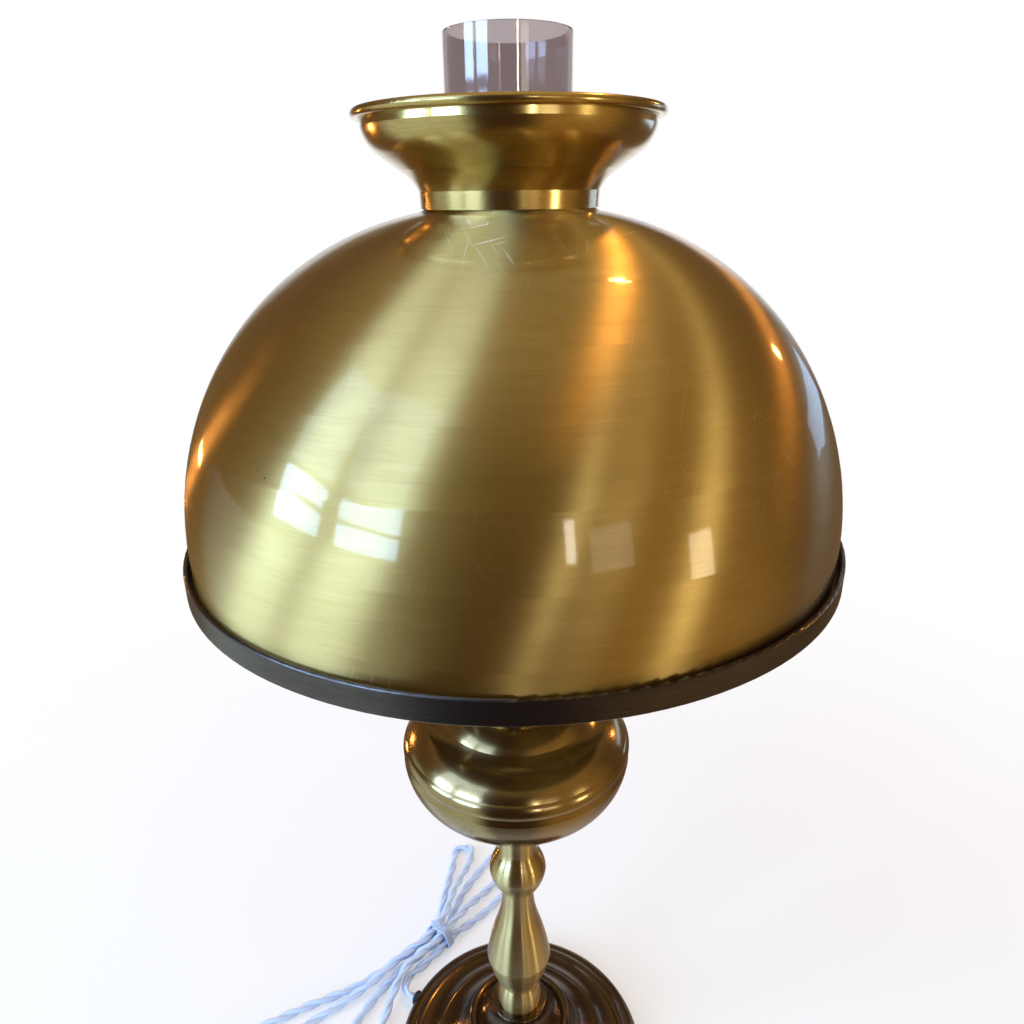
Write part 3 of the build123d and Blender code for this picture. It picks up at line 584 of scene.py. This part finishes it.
metal(
    "shade_brass", (0.68, 0.53, 0.22), (0.5, 0.35, 0.11), 0.42,
    lines=0.4, grain=2600.0, coat=0.8, stretch=1.0, rotate=0.195, marks=0.5,
)
metal(
    "crown_brass", (0.6, 0.46, 0.18), (0.4, 0.27, 0.08), 0.24,
    lines=0.6, coat=0.8, stretch=0.5, rotate=0.25,
)
metal("ring_bronze", (0.12, 0.11, 0.12), (0.055, 0.045, 0.045), 0.36, lines=0.6, wear=0.6, coat=0.3)
metal(
    "font_brass", (0.46, 0.35, 0.16), (0.24, 0.16, 0.06), 0.22,
    lines=0.4, coat=0.7, stretch=0.5, rotate=0.25,
)
metal(
    "stem_brass", (0.68, 0.56, 0.29), (0.46, 0.34, 0.13), 0.3,
    lines=0.3, coat=0.7, stretch=1.0, rotate=0.25,
)
metal(
    "base_bronze", (0.13, 0.086, 0.052), (0.06, 0.038, 0.024), 0.26,
    lines=0.7, wear=0.4, coat=0.5, stretch=0.8, rotate=0.25,
)
metal("burner_brass", (0.58, 0.44, 0.17), (0.36, 0.25, 0.08), 0.24, lines=0.4)
metal("arm_brass", (0.5, 0.37, 0.14), (0.28, 0.19, 0.06), 0.3, lines=0.2)
metal("knob_brass", (0.62, 0.48, 0.2), (0.36, 0.25, 0.08), 0.25, lines=0.2)
metal("contact_brass", (0.62, 0.5, 0.24), (0.42, 0.32, 0.12), 0.3, lines=0.2)
metal("base_iron", (0.09, 0.085, 0.08), (0.04, 0.035, 0.03), 0.6, lines=0.1, cast=0.6)
metal("thread_steel", (0.48, 0.48, 0.47), (0.3, 0.29, 0.27), 0.3, lines=0.5, grain=1000.0)
metal("bulb_metal", (0.6, 0.6, 0.58), (0.4, 0.39, 0.36), 0.28, lines=0.3)
metal("bulb_wire", (0.35, 0.34, 0.33), (0.2, 0.19, 0.18), 0.4, lines=0.1)
metal("pin_metal", (0.66, 0.64, 0.58), (0.48, 0.46, 0.4), 0.22, lines=0.2)


# Moulded, fired and soft surfaces

def plain_piece(name, colour, rough, speck, scale, bump, **sockets):
    """A moulded or fired surface: small changes of tone and a fine texture."""
    s = material(name)
    point = s.place()
    grain = s.noise(point, scale, 3.0, 0.6)
    broad = s.noise(point, scale * 0.08, 3.0, 0.5)
    tone = s.spread(broad, speck, s.spread(grain, speck, 1.0))
    toned = s.add("ShaderNodeVectorMath", {0: colour, "Scale": tone}, operation="SCALE").outputs[0]
    dull = s.spread(grain, 0.15, rough, clamp=True)
    s.finish({"Base Color": toned, "Roughness": dull} | sockets, s.bump(grain, bump, 0.0004))


plain_piece("base_felt", (0.05, 0.075, 0.05), 0.95, 0.5, 900.0, 0.6, **{"Sheen Weight": 0.5})
plain_piece("bush_rubber", (0.03, 0.03, 0.032), 0.7, 0.2, 600.0, 0.2)
plain_piece("switch_plastic", (0.035, 0.028, 0.024), 0.35, 0.2, 400.0, 0.05)
plain_piece("holder_ceramic", (0.78, 0.76, 0.7), 0.2, 0.06, 500.0, 0.05, **{"Coat Weight": 0.5})
plain_piece("plug_plastic", (0.72, 0.71, 0.68), 0.38, 0.06, 900.0, 0.1)


# Glass

def glass(name, colour, rough):
    """Blown glass, with long waves up its height and a little dust."""
    s = material(name)
    point = s.place()
    x, y, z = s.parts(point)
    waves = s.noise(s.vector(x, y, s.math("MULTIPLY", z, 0.15)), 55.0, 2.0, 0.5)
    dull = s.math("MULTIPLY_ADD", s.noise(point, 900.0, 3.0, 0.7), 0.04, rough)
    s.finish(
        {"Base Color": colour, "Roughness": dull, "IOR": 1.6, "Transmission Weight": 1.0},
        s.bump(waves, 0.06, 0.002),
    )


# The chimney is clear glass: its grey-lilac tint is painted shade, standing in for the dim room seen through
# it.
glass("chimney_glass", (0.44, 0.38, 0.39), 0.02)
glass("bulb_glass", (0.96, 0.96, 0.95), 0.01)


# Textile

def textile(name, light, dark, pitch):
    """Braided yarn, with its runs crossing round the strand."""
    s = material(name)
    u, v, _ = s.parts(s.add("ShaderNodeUVMap", uv_map="UVMap"))
    left = s.math("SINE", s.math("MULTIPLY", s.math("ADD", u, v), 2 * pi / pitch))
    right = s.math("SINE", s.math("MULTIPLY", s.math("SUBTRACT", u, v), 2 * pi / pitch))
    braid = s.math("MULTIPLY_ADD", s.math("MAXIMUM", left, right), 0.5, 0.5)
    point = s.place()
    fuzz = s.noise(point, 2500.0, 2.0, 0.7)
    soil = s.noise(point, 60.0, 3.0, 0.6)
    tone = s.math("MULTIPLY", s.math("ADD", braid, fuzz), 0.5)
    tone = s.spread(soil, 0.5, tone, clamp=True)
    s.finish(
        {
            "Base Color": s.ramp(tone, (0.1, dark), (0.7, light)), "Roughness": 0.85,
            # The blue sheen tint is painted cool light on white cloth.
            "Sheen Weight": 0.35, "Sheen Roughness": 0.5, "Sheen Tint": (0.8, 0.85, 1.0),
        },
        s.bump(s.math("MULTIPLY_ADD", fuzz, 0.4, braid), 0.7, 0.0002),
    )


# The flex and tie are white cloth: their blue tones here are painted cool light and shade.
textile("flex_textile", (0.66, 0.8, 1.0), (0.55, 0.66, 1.0), 0.9 * MM)
textile("tie_textile", (0.62, 0.76, 1.0), (0.5, 0.6, 0.98), 0.5 * MM)


# Every node and piece takes the material of its slot

for entry in frame["record"]["subparts"]:
    node = nodes[entry["node"]]
    node.data.materials.clear()
    node.data.materials.append(materials[entry["material_slot"]])
cord.data.materials.append(materials["flex_textile"])
tie.data.materials.append(materials["tie_textile"])


# The felt, with a soft cut edge

felt = lathe(
    "felt",
    [(1.0, 0.0), (65.3, 0.0), (65.7, 0.2), (65.9, 0.7), (65.8, 1.2), (65.4, 1.5), (1.0, 1.5)],
)
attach(felt, "lamp")
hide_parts("base_felt")
felt.data.materials.append(materials["base_felt"])
